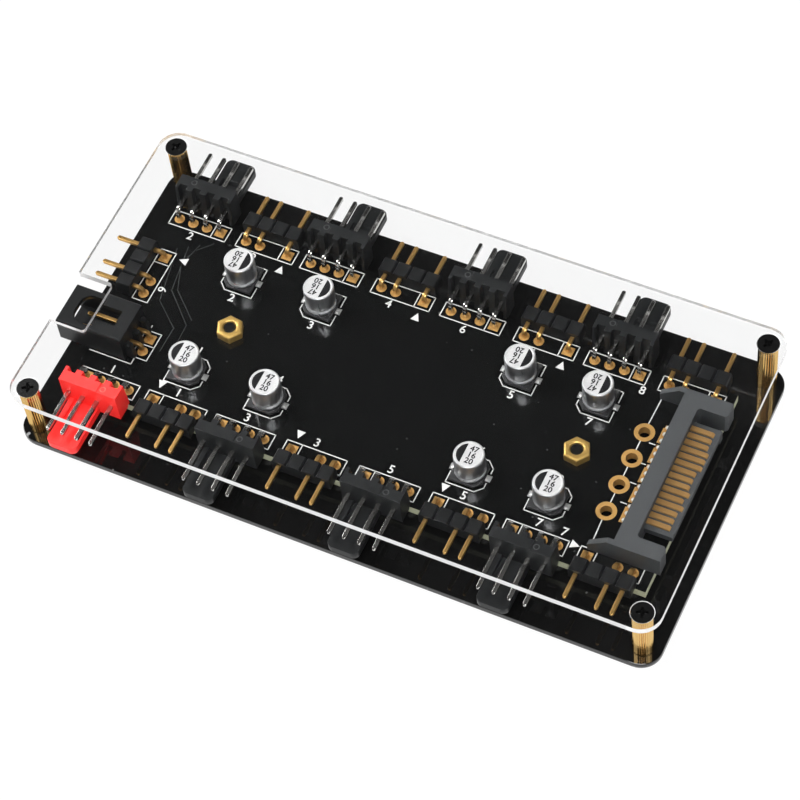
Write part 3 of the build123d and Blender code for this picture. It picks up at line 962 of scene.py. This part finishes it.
@dataclass
class Board:
    """Circuit board with its copper, solder and white print.

    Rings are pairs of a radius and a height over the face that they stand on.
    """

    copper: float = 0.035
    ink: float = 0.02
    line: float = 0.17
    pad: float = 0.86
    outline_x: float = 49.72
    outline_y: float = 18.9
    plated_outer: float = 1.65
    plated_inner: float = 0.96
    tail_pads: tuple = tuple((41.75, y) for y in (7.575, 3.72, -0.1, -3.93, -7.7))
    tail_pad_size: tuple = (1.0, 2.85)
    terminal_pad_reach: float = 2.7
    terminal_pad_size: tuple = (1.5, 1.15)
    tail_x: float = 41.98
    under_rings: tuple = ((0.18, -1.05), (0.42, -0.75), (0.56, -0.4), (0.8, 0.0))
    tail_rings: tuple = ((0.42, 0.03), (0.39, 0.32), (0.3, 0.54), (0.1, 0.64))
    fillet_rings: tuple = ((0.62, -0.01), (0.5, 0.12), (0.4, 0.34), (0.34, 0.5))
    box_end: float = 1.4
    box_side: float = 1.42
    can_box: float = 3.0
    can_box_cut: float = 1.15
    can_box_gap: float = 0.95
    triangles: tuple = ((-27.7, 13.5, 90), (-3.2, 13.4, 90), (22.0, 13.6, 90), (-35.5, -13.4, -90),
                        (-10.8, -13.5, -90), (14.2, -13.7, -90), (36.7, -15.4, 0), (-43.2, 9.2, 180))
    plug_line_ends: tuple = ((39.0, 14.2), (39.0, -14.9))
    plug_line_gap: float = 1.75
    plug_ticks: tuple = tuple(((40.3, y), (41.2, y)) for y in (5.65, 1.8, -2.0, -5.8))
    latch_lines: tuple = (((-49.4, -11.95), (-41.9, -11.95)), ((-41.9, -11.95), (-41.9, -10.5)),
                          ((-42.1, -5.1), (-42.1, -4.1)))
    number_size: float = 2.1
    number_back: float = 14.05
    number_front: float = -13.95
    can_number: float = 4.1
    track: float = 0.16
    track_rise: float = 0.012
    track_runs: tuple = (((-42.2, 13.0), (-43.3, 8.5), (-41.5, 3.7), (-36.65, -0.7)),
                         ((-43.8, 12.0), (-42.4, 3.3), (-37.0, -1.9), (-36.7, -9.1)),
                         ((-45.4, 11.1), (-43.3, 0.8), (-38.65, -3.2), (-38.7, -8.0)),
                         ((-40.2, 14.1), (-42.25, 11.95)))
    rows: list[PadRow] = field(default_factory=list)

    def __post_init__(self) -> None:
        """List every header's row of pads."""
        for alongs, headers in ((FAN_ALONGS, numbered(FAN_FRONT_X, FAN_BACK_X)),
                                (STRIP_ALONGS, numbered(STRIP_X, STRIP_X))):
            self.rows += [PadRow(x, y, side, alongs, FAN_ALONGS) for _, x, y, side in headers]
        self.rows.append(PadRow(*INPUT_ROW, STRIP_ALONGS, FAN_ALONGS))
        self.rows.append(PadRow(*LATCH_ROW, TWO_ALONGS, TWO_ALONGS))

    def pad_spots(self) -> list[tuple[float, float]]:
        """Places of every header's pads."""
        return [spot for row in self.rows for spot in row.spots(row.pads)]

    def body(self) -> None:
        """Make the board, its mask apart from its cut edges and its plated holes."""
        piece = softened("circuit_board", "board_body", 0.0)
        for polygon in piece.data.polygons:
            wall = abs(polygon.normal.z) < 0.5
            x, y = abs(polygon.center.x) / MM, abs(polygon.center.y) / MM
            inner = x < self.outline_x - 0.1 and y < self.outline_y - 0.1
            polygon.material_index = (2 if inner else 1) if wall else 0
        dress(piece, SOLDER_MASK, ["circuit_board"], others=[BOARD_CORE, PAD_GOLD])

    def pads(self) -> None:
        """Make the gold pads on both faces, pin one's square, and the tin ones of the capacitors."""
        bench = Bench("copper_pads")
        top = (BOARD_TOP, BOARD_TOP + self.copper)
        faces = (top, (BOARD_BOTTOM - self.copper, BOARD_BOTTOM))
        for row in self.rows:
            for i, (x, y) in enumerate(row.spots(row.pads)):
                for low, high in faces:
                    if i == 0:
                        bench.slab(x, y, 2 * self.pad, 2 * self.pad, low, high)
                    else:
                        bench.turned(x, y, ((self.pad, low), (self.pad, high)), sides=28)
        for y in PLATED_Y:
            for face in faces:
                bench.washer(PLATED_X, y, self.plated_outer, self.plated_inner, *face)
        for x, y in self.tail_pads:
            bench.slab(x, y, *self.tail_pad_size, *top)
        dress(bench.done(), PAD_GOLD)
        bench = Bench("terminal_pads")
        for x in CAN_X:
            for y in (-CAN_Y, CAN_Y):
                for reach in (-self.terminal_pad_reach, self.terminal_pad_reach):
                    bench.slab(x + reach, y, *self.terminal_pad_size, BOARD_TOP, BOARD_TOP + 0.01)
        dress(bench.done(), TIN)

    def solder(self) -> None:
        """Make the solder round each pin and on the power plug's tails."""
        bench = Bench("solder_joints")
        self.joints(bench, self.pad_spots(), self.under_rings, BOARD_BOTTOM - self.copper, 20)
        middle = (CONTACT_COUNT - 1) / 2
        tails = [(self.tail_x, CONTACT_ROW_Y + (middle - i) * CONTACT_PITCH) for i in range(CONTACT_COUNT)]
        self.joints(bench, tails, self.tail_rings, BOARD_TOP, 14)
        dress(bench.done(), TIN, smooth=60.0)
        bench = Bench("gilt_fillets")
        self.joints(bench, self.pad_spots(), self.fillet_rings, BOARD_TOP + self.copper, 20)
        dress(bench.done(), PAD_GOLD, smooth=60.0)

    def joints(self, bench: Bench, spots: Sequence[tuple[float, float]], rings: tuple, level: float,
               sides: int) -> None:
        """Raise the same solder joint at each of many places.

        Args:
            bench: Piece that gets the joints.
            spots: Middle of each.
            rings: Form of a joint, over the level.
            level: Height of the face that it stands on.
            sides: Number of sides.
        """
        for x, y in spots:
            bench.turned(x, y, [(radius, level + height) for radius, height in rings], sides=sides)

    def lines(self, bench: Bench, strokes: Sequence[tuple]) -> None:
        """Print straight white lines, each from its start to its end."""
        for start, end in strokes:
            bench.stroke(start, end, self.line, BOARD_TOP, BOARD_TOP + self.ink)

    def box_print(self, bench: Bench, row: PadRow) -> None:
        """Print the box round a row of pads, with the line beside pin one's pad.

        Args:
            bench: Piece that gets the print.
            row: The row of pads.
        """
        points = row.spots(row.boxed)
        xs, ys = zip(*points)
        left, right = min(xs) - self.box_end, max(xs) + self.box_end
        front, back = min(ys) - self.box_side, max(ys) + self.box_side
        corners = ((left, front), (right, front), (right, back), (left, back), (left, front))
        self.lines(bench, tuple(zip(corners, corners[1:])))
        first, second = points[0], points[1]
        x, y = (first[0] + second[0]) / 2, (first[1] + second[1]) / 2
        along = abs(first[0] - second[0]) > abs(first[1] - second[1])
        self.lines(bench, [((x, front), (x, back)) if along else ((left, y), (right, y))])

    def triangle(self, bench: Bench, x: float, y: float, way: float) -> None:
        """Print a filled triangle.

        Args:
            bench: Piece that gets the print.
            x: Middle of the triangle.
            y: Middle of the triangle.
            way: Where it points, in degrees.
        """
        corners = []
        for reach, at in ((0.85, 0), (0.95, 130), (0.95, 230)):
            turn = math.radians(way + at)
            corners.append((x + reach * math.cos(turn), y + reach * math.sin(turn)))
        bench.patch(corners, BOARD_TOP, BOARD_TOP + self.ink)

    def can_print(self, bench: Bench, x: float, y: float, way: int) -> None:
        """Print the outline round a capacitor, open at its terminals and cut at two corners.

        Args:
            bench: Piece that gets the print.
            x: Middle of the capacitor.
            y: Middle of the capacitor.
            way: 1 with the cut corners to the right, -1 with them to the left.
        """
        half, cut, gap = self.can_box, self.can_box_cut, self.can_box_gap
        points = ((-half, gap), (-half, half), (half - cut, half), (half, half - cut), (half, gap))
        for up in (-1, 1):
            corners = [(x + way * across, y + up * along) for across, along in points]
            self.lines(bench, tuple(zip(corners, corners[1:])))

    def plug_line(self, bench: Bench) -> None:
        """Print the line behind the power plug, which stops short of each plated hole.

        Args:
            bench: Piece that gets the print.
        """
        holes = [(PLATED_X, y) for y in PLATED_Y]
        spots = [self.plug_line_ends[0], *holes, self.plug_line_ends[1]]
        for start, end in zip(spots, spots[1:]):
            top = start[1] - (self.plug_line_gap if start in holes else 0.0)
            bottom = end[1] + (self.plug_line_gap if end in holes else 0.0)
            if top > bottom:
                self.lines(bench, [((start[0], top), (end[0], bottom))])

    def white_print(self) -> None:
        """Print every line and triangle in white ink."""
        bench = Bench("white_print")
        for row in self.rows:
            self.box_print(bench, row)
        for x, y, way in self.triangles:
            self.triangle(bench, x, y, way)
        for x in CAN_X:
            self.can_print(bench, x, -CAN_Y, 1)
            self.can_print(bench, x, CAN_Y, -1)
        self.plug_line(bench)
        self.lines(bench, self.plug_ticks)
        self.lines(bench, self.latch_lines)
        dress(bench.done(), PRINT_WHITE)

    def signs(self) -> list[tuple[str, float, float, float]]:
        """List the plain numbers beside the headers and capacitors.

        Returns:
            Digits, middle and turn of each number.
        """
        found = [(str(2 * i + 2), x - 0.6, self.number_back, 0.0) for i, x in enumerate(FAN_BACK_X)]
        for i, x in enumerate(STRIP_X):
            last = i == len(STRIP_X) - 1
            found.append((str(2 * i + 2), 35.6 if last else x - 1.4, self.number_back + 0.05, 0.0))
            found.append((str(2 * i + 1), 34.4 if last else x - 0.6, self.number_front, 0.0))
        found += [(str(2 * i + 1), x - 0.4, self.number_front, 0.0) for i, x in enumerate(FAN_FRONT_X)]
        for x, back, front in zip(CAN_X, CAN_SIGNS_BACK, CAN_SIGNS_FRONT):
            found.append((back, x, CAN_Y - self.can_number, 0.0))
            found.append((front, x, self.can_number - CAN_Y, 0.0))
        return found + [("9", -43.8, 2.84, math.pi / 2)]

    def numbers(self) -> None:
        """Print the plain numbers."""
        pieces = [flat_number(text, self.number_size, self.ink, shift(x, y, BOARD_TOP) @ turned_by(turn))
                  for text, x, y, turn in self.signs()]
        dress(joined(pieces, "printed_numbers"), PRINT_WHITE, smooth=20.0)

    def tracks(self) -> None:
        """Raise the faint tracks under the mask near the left edge."""
        bench = Bench("mask_tracks")
        for points in self.track_runs:
            for start, end in zip(points, points[1:]):
                bench.stroke(start, end, self.track, BOARD_TOP, BOARD_TOP + self.track_rise)
        dress(bench.done(), TRACK_MASK)

    def build(self) -> None:
        """Make the board and all that is printed or soldered on it."""
        self.body()
        self.pads()
        self.solder()
        self.white_print()
        self.numbers()
        self.tracks()


def flat_number(text: str, size: float, depth: float, matrix: Matrix, bold: float = 0.02) -> bpy.types.Object:
    """Make a plain number as a thin mesh.

    Args:
        text: Digits to write.
        size: Height of a line, in millimetres.
        depth: Thickness of the ink, in millimetres.
        matrix: Place of the middle of the number.
        bold: Growth of each stroke to either side, in millimetres.

    Returns:
        The number, at the origin.
    """
    bpy.ops.object.select_all(action="DESELECT")
    bpy.ops.object.text_add()
    sign = bpy.context.object
    sign.data.body = text
    sign.data.size = size * MM
    sign.data.align_x = "CENTER"
    sign.data.align_y = "CENTER"
    sign.data.extrude = depth * MM / 2
    sign.data.offset = bold * MM
    sign.data.resolution_u = 3
    bpy.ops.object.convert(target="MESH")
    sign = bpy.context.object
    sign.matrix_world = matrix @ Matrix.Translation((0, 0, depth * MM / 2))
    bpy.ops.object.transform_apply(location=True, rotation=True, scale=True)
    return sign


def joined(pieces: Sequence[bpy.types.Object], name: str) -> bpy.types.Object:
    """Join pieces into one, at the origin.

    Args:
        pieces: Two or more pieces.
        name: Name of the joined piece.

    Returns:
        The joined piece.
    """
    bpy.ops.object.select_all(action="DESELECT")
    for piece in pieces:
        piece.select_set(True)
    bpy.context.view_layer.objects.active = pieces[0]
    bpy.ops.object.join()
    pieces[0].name = name
    pieces[0].data.name = name
    return pieces[0]


@dataclass
class Headers:
    """Fan headers, lighting headers and the two inputs, with their bent pins."""

    pin: float = 0.64
    pin_foot: float = -2.6
    tip: float = 0.3
    fan_pin: tuple = (2.5, 12.4, 0.68)
    strip_pin: tuple = (1.4, 8.6, 0.62)
    latch_pin: tuple = (1.9, 11.11, 0.62)
    fan_edge: float = 0.09
    strip_edge: float = 0.06
    latch_edge: float = 0.08
    rib_x: float = -42.4
    rib_ys: tuple = (-10.35, -7.81, -5.27)
    rib_size: tuple = (1.38, 0.95)
    rib_height: float = 3.3
    rib_taper: float = 0.7
    rib_edge: float = 0.07
    mark_x: float = 2.37
    mark_y: float = -4.18
    mark_outer: float = 0.52
    mark_inner: float = 0.34
    mark_depth: float = 0.08
    step_top: float = 10.70
    edge: float = 0.055

    def bent_pin(self, height: float, reach: float, bend: float) -> bpy.types.Object:
        """Model one pin in a row's own space, its outward way along -Y.

        Args:
            height: Height of the level run's middle over the board.
            reach: Distance from the pad's middle to the tip.
            bend: Radius of the bend's middle line.

        Returns:
            The pin.
        """
        bench = Bench("pin_master")
        foot = self.pin_foot
        bpy.ops.mesh.primitive_plane_add(size=self.pin * MM, location=(0, 0, foot * MM))
        bench.rise(height - bend - foot)
        bpy.ops.mesh.spin(steps=6, angle=math.pi / 2, center=(0, -bend * MM, (height - bend) * MM),
                          axis=(-1, 0, 0))
        bpy.ops.mesh.extrude_region_move(
            TRANSFORM_OT_translate={"value": (0, -(reach - bend - self.tip) * MM, 0)})
        bpy.ops.mesh.extrude_region_move(TRANSFORM_OT_translate={"value": (0, -self.tip * MM, 0)})
        bpy.ops.transform.resize(value=(0.5, 1, 0.5), center_override=(0, -reach * MM, height * MM))
        pin = bench.done()
        bevelled(pin, self.edge, 2, 40.0)
        return pin

    def pins(self) -> None:
        """Make the pins of every header."""
        fans = [(f"fan_pin_row_{number}", f"fan_pins_{number}", *row)
                for number, *row in numbered(FAN_FRONT_X, FAN_BACK_X)]
        strips = [(f"led_pin_row_{number}", f"led_pins_{number}", *row)
                  for number, *row in numbered(STRIP_X, STRIP_X)]
        strips.append(("input_pin_row", "input_pins", *INPUT_ROW))
        latch = [("latch_pin_row", "latch_pins", *LATCH_ROW)]
        for form, alongs, rows, finish, slot in (
            (self.fan_pin, FAN_ALONGS, fans, TIN_PIN, "tin_pin"),
            (self.strip_pin, STRIP_ALONGS, strips, GILT, "gilt_pin"),
            (self.latch_pin, TWO_ALONGS, latch, GILT, "gilt_pin"),
        ):
            master = self.bent_pin(*form)
            for name, node, x, y, side in rows:
                piece = copy_at(master, name, [place(x, y, side) @ shift(-along, 0) for along in alongs])
                dress(piece, finish, [node], smooth=40.0, weigh=True)
            bpy.data.objects.remove(master, do_unlink=True)

    def ejector_cutter(self, spot: Vector) -> bpy.types.Object:
        """Make the cutter for the round mark that the mould's ejector leaves.

        Args:
            spot: Middle of the mark, in metres.

        Returns:
            A flat ring that stands through the header's lower top face.
        """
        bench = Bench("ejector_cutter")
        bench.washer(spot.x / MM, spot.y / MM, self.mark_outer, self.mark_inner,
                     self.step_top - self.mark_depth, self.step_top + 0.1, 24)
        return bench.done()

    def fan_housing(self, number: int, x: float, y: float, side: Side) -> None:
        """Make one fan header's housing with its ejector mark, whose ring floor carries a painted highlight.

        Args:
            number: Number of the header.
            x: Middle of its row of pads.
            y: Middle of its row of pads.
            side: Edge that it looks out over.
        """
        red = number == 1
        piece = softened(f"fan_header_{number}", f"fan_housing_{number}", self.fan_edge)
        spot = place(x, y, side) @ (Vector((self.mark_x, self.mark_y, 0)) * MM)
        carved(piece, self.ejector_cutter(spot))
        # The floor of the mark's ring gets a lighter finish than the header: a painted highlight.
        floor = self.step_top - self.mark_depth
        mark_faces(piece, lambda face: abs(face.center.z / MM - floor) < 0.01
                   and (face.center.xy - spot.xy).length < 0.6 * MM)
        dress(piece, FAN_RED if red else FAN_GREY,
              [f"fan_header_{number}"], others=[EJECTOR_RED_PAINTED_HIGHLIGHT if red else EJECTOR_GREY_PAINTED_HIGHLIGHT], weigh=True)

    def bodies(self) -> None:
        """Make the mouldings with softly rounded edges."""
        for number, x, y, side in sorted(numbered(FAN_FRONT_X, FAN_BACK_X), key=lambda row: row[0]):
            self.fan_housing(number, x, y, side)
            self.black_moulding(f"led_header_{number}", f"led_housing_{number}", self.strip_edge)
        self.black_moulding("input_header", "input_housing", self.strip_edge)
        self.black_moulding("latch_header", "latch_housing", self.latch_edge)

    def black_moulding(self, node: str, name: str, edge: float) -> None:
        """Make one black moulding of the given node, name and rounding."""
        dress(softened(node, name, edge), STRIP_BLACK, [node], weigh=True)

    def latch_ribs(self) -> None:
        """Make the ribs that guide the two pins down behind the latch header."""
        bench = Bench("latch_ribs")
        for y in self.rib_ys:
            bench.slab(self.rib_x, y, *self.rib_size, BOARD_TOP, BOARD_TOP + self.rib_height)
            bpy.ops.transform.resize(value=(self.rib_taper, 1, 1),
                                     center_override=((self.rib_x - 0.6) * MM, y * MM, 0))
        ribs = bench.done()
        bevelled(ribs, self.rib_edge)
        dress(ribs, STRIP_BLACK, weigh=True)

    def build(self) -> None:
        """Make pins and mouldings."""
        self.pins()
        self.bodies()
        self.latch_ribs()


@dataclass
class PowerPlug:
    """Flat power plug and its fifteen gilt contacts."""

    edge: float = 0.1
    contact_edge: float = 0.07

    def build(self) -> None:
        """Make the moulding and the contacts."""
        for node, name, edge, finish, slot in (
            ("power_plug_housing", "plug_moulding", self.edge, PLUG_GREY, "plug_housing"),
            ("power_plug_contacts", "plug_contact_row", self.contact_edge, GILT_CONTACT, "gilt_contact"),
        ):
            dress(softened(node, name, edge), finish, [node], weigh=True)


@dataclass
class Capacitors:
    """Eight small aluminium capacitors on black feet."""

    radius: float = 2.5
    foot: float = 0.75
    height: float = 5.4
    roll: float = 0.32
    roll_steps: int = 6
    sink: float = 0.06
    chord: float = 0.8
    ink: float = 0.012
    digit_size: float = 1.38
    digit_bold: float = 0.032
    digit_x: float = 0.45
    digit_step: float = 1.12
    foot_edge: float = 0.08
    terminal_edge: float = 0.04
    crimp: tuple = ((-0.25, 0.0), (-0.04, 0.1), (0.0, 0.28), (-0.02, 0.5), (-0.22, 0.68), (-0.26, 0.8),
                    (-0.22, 0.92), (-0.02, 1.1), (0.0, 1.25))

    def can(self) -> bpy.types.Object:
        """Model one can.

        Returns:
            The can: crimped near its foot, rolled at its rim, with a slightly sunk top.
        """
        low, top = BOARD_TOP + self.foot, BOARD_TOP + self.height
        rings = [(self.radius + out, low + up) for out, up in self.crimp]
        for i in range(1, self.roll_steps + 1):
            at = math.pi / 2 * i / self.roll_steps
            rings.append((self.radius - self.roll * (1 - math.cos(at)), top - self.roll * (1 - math.sin(at))))
        rings += [(self.radius - 0.42, top - self.sink / 2), (self.radius - 0.5, top - self.sink)]
        bench = Bench("can_master")
        bench.turned(0, 0, rings, sides=64)
        return bench.done()

    def segment(self, top: float) -> bpy.types.Object:
        """Make the black segment printed on a can's top.

        Args:
            top: Height of the can's top.

        Returns:
            The segment, on a can at the origin.
        """
        steps, edge = 20, self.radius - 0.52
        start = math.acos(self.chord / edge)
        angles = [start * (1 - 2 * i / steps) for i in range(steps + 1)]
        bench = Bench("segment_master")
        bench.patch([(edge * math.cos(at), edge * math.sin(at)) for at in angles], top, top + self.ink)
        return bench.done()

    def digits(self, spot: Matrix) -> list[bpy.types.Object]:
        """Make the three lines of digits on a can whose top is at spot."""
        return [flat_number(text, self.digit_size, self.ink,
                            spot @ shift(self.digit_x, self.digit_step * (1 - line)), self.digit_bold)
                for line, text in enumerate(CAN_LINES)]

    def build(self) -> None:
        """Make cans, black segments, numbers, feet and terminals."""
        master = self.can()
        top = BOARD_TOP + self.height - self.sink
        segment = self.segment(top)
        spots = [(x, y) for y in (-CAN_Y, CAN_Y) for x in CAN_X]
        segment_places, printed = [], []
        for number, (x, y) in enumerate(spots, start=1):
            piece = copy_at(master, f"can_{number}", [shift(x, y)])
            mark_faces(piece, lambda face: face.center.z > (top - 0.02) * MM and face.normal.z > 0.9)
            dress(piece, CAN_SIDE, [f"capacitor_can_{number}"], others=[CAN_TOP])
            front = y < 0
            segment_places.append(shift(x, y) @ turned_by(math.pi if front else 0.0))
            printed += self.digits(shift(x, y, top) @ turned_by(0.0 if front else math.pi))
        bpy.data.objects.remove(master, do_unlink=True)
        black = spent(segment, "can_segments", segment_places)
        dress(joined([black, *printed], "can_print"), PRINT_BLACK, smooth=20.0)
        for node, name, edge, finish, slot in (
            ("capacitor_feet", "foot_blocks", self.foot_edge, FOOT_BLACK, "foot_black"),
            ("capacitor_terminals", "foot_terminals", self.terminal_edge, TIN, "tin"),
        ):
            dress(softened(node, name, edge), finish, [node])


# Light, floor and camera


@dataclass
class Studio:
    """Pale floor, soft light and the camera at the photograph's angle."""

    lens: float = 129.49
    sensor: float = 36.0
    eye: tuple = (131.17, -210.13, 386.10)
    right: tuple = (0.90349979, 0.42138415, -0.07825292)
    down: tuple = (0.31801489, -0.78153485, -0.53672135)
    ahead: tuple = (-0.28732326, 0.46004203, -0.84012301)
    ambient: float = 0.55
    horizon: float = 0.85
    overhead: float = 0.03
    fall_start: float = 0.12
    fall_end: float = 0.5
    floor_drop: float = 0.2
    floor_glow: float = 0.94

    def camera(self) -> None:
        """Place the camera."""
        data = bpy.data.cameras.new("camera")
        data.lens = self.lens
        data.sensor_width = self.sensor
        data.clip_start = 0.01
        data.clip_end = 20.0
        camera = bpy.data.objects.new("camera", data)
        bpy.context.collection.objects.link(camera)
        axes = (Vector(self.right), -Vector(self.down), -Vector(self.ahead))
        camera.matrix_world = shift(*self.eye) @ Matrix(axes).transposed().to_4x4()
        bpy.context.scene.camera = camera

    def floor(self) -> None:
        """Lay the floor, which shows white to the camera and keeps the shadow."""
        bpy.ops.object.select_all(action="DESELECT")
        bpy.ops.mesh.primitive_plane_add(size=6.0, location=(0, 0, -self.floor_drop * MM))
        floor = bpy.context.object
        floor.name = "floor"
        bpy.ops.object.transform_apply(location=True, rotation=True, scale=True)
        material, tree, shader = new_material("floor_white", {
            "Base Color": (0.85, 0.85, 0.85, 1.0), "Roughness": 0.9})
        rays = add_node(tree, "LightPath", {}).outputs
        bent = calculated(tree, "ADD", rays["Is Glossy Ray"], rays["Is Transmission Ray"], clamp=True)
        seen = calculated(tree, "ADD", rays["Is Camera Ray"], bent, clamp=True)
        glow = add_node(tree, "Emission", {"Strength": 1.0})
        shade_by(tree, calculated(tree, "MULTIPLY", seen, self.floor_glow), shader, glow)
        floor.data.materials.append(material)

    def world(self) -> None:
        """Surround the hub with soft light.

        A ray that has met only clear sheets sees white. A mirrored ray sees pale light near the horizon
        and dim light overhead, and any other ray sees the ambient light.
        """
        world = bpy.data.worlds.new("studio")
        bpy.context.scene.world = world
        world.use_nodes = True
        tree = world.node_tree
        coords = add_node(tree, "TexCoord", {})
        split = add_node(tree, "SeparateXYZ", {"Vector": coords.outputs["Generated"]})
        fall = add_node(tree, "MapRange", {
            "Value": split.outputs["Z"], "From Min": self.fall_start, "From Max": self.fall_end,
            "To Min": self.horizon, "To Max": self.overhead}, interpolation_type="SMOOTHSTEP")
        rays = add_node(tree, "LightPath", {}).outputs
        mirrored = calculated(tree, "GREATER_THAN", rays["Glossy Depth"], 0.5)
        plain = mixed(tree, "FLOAT", mirrored, self.ambient, fall.outputs["Result"])
        bounces = calculated(tree, "ADD", rays["Glossy Depth"], rays["Diffuse Depth"])
        straight = calculated(tree, "LESS_THAN", bounces, 0.5)
        background = tree.nodes["Background"]
        feed(tree, mixed(tree, "FLOAT", straight, plain, 1.0), background.inputs["Strength"])
        background.inputs["Color"].default_value = (1.0, 1.0, 1.0, 1.0)

    def lamp(self, name: str, at: tuple[float, float, float], size: float, power: float) -> None:
        """Hang one soft lamp that looks at the hub.

        Args:
            name: Name of the lamp.
            at: Its place, in metres.
            size: Side of its square face, in metres.
            power: Its power, in watts.
        """
        data = bpy.data.lights.new(name, "AREA")
        data.size = size
        data.energy = power
        lamp = bpy.data.objects.new(name, data)
        bpy.context.collection.objects.link(lamp)
        lamp.location = at
        lamp.rotation_euler = (-Vector(at)).to_track_quat("-Z", "Y").to_euler()

    def build(self) -> None:
        """Set up everything around the hub."""
        bpy.context.scene.view_settings.view_transform = "Standard"
        self.camera()
        self.floor()
        self.world()
        self.lamp("key", (-0.55, 0.05, 0.5), 0.4, 5.0)
        self.lamp("top", (0.1, -0.3, 0.75), 0.35, 4.0)
        self.lamp("fill", (0.55, -0.45, 0.35), 1.1, 1.6)


def main() -> None:
    """Dress the whole hub."""
    bpy.ops.object.select_all(action="DESELECT")
    Studio().build()
    Plates().build()
    Board().build()
    Headers().build()
    PowerPlug().build()
    Capacitors().build()
    LOG.info("sizes written")


if __name__ == "__main__":
    main()
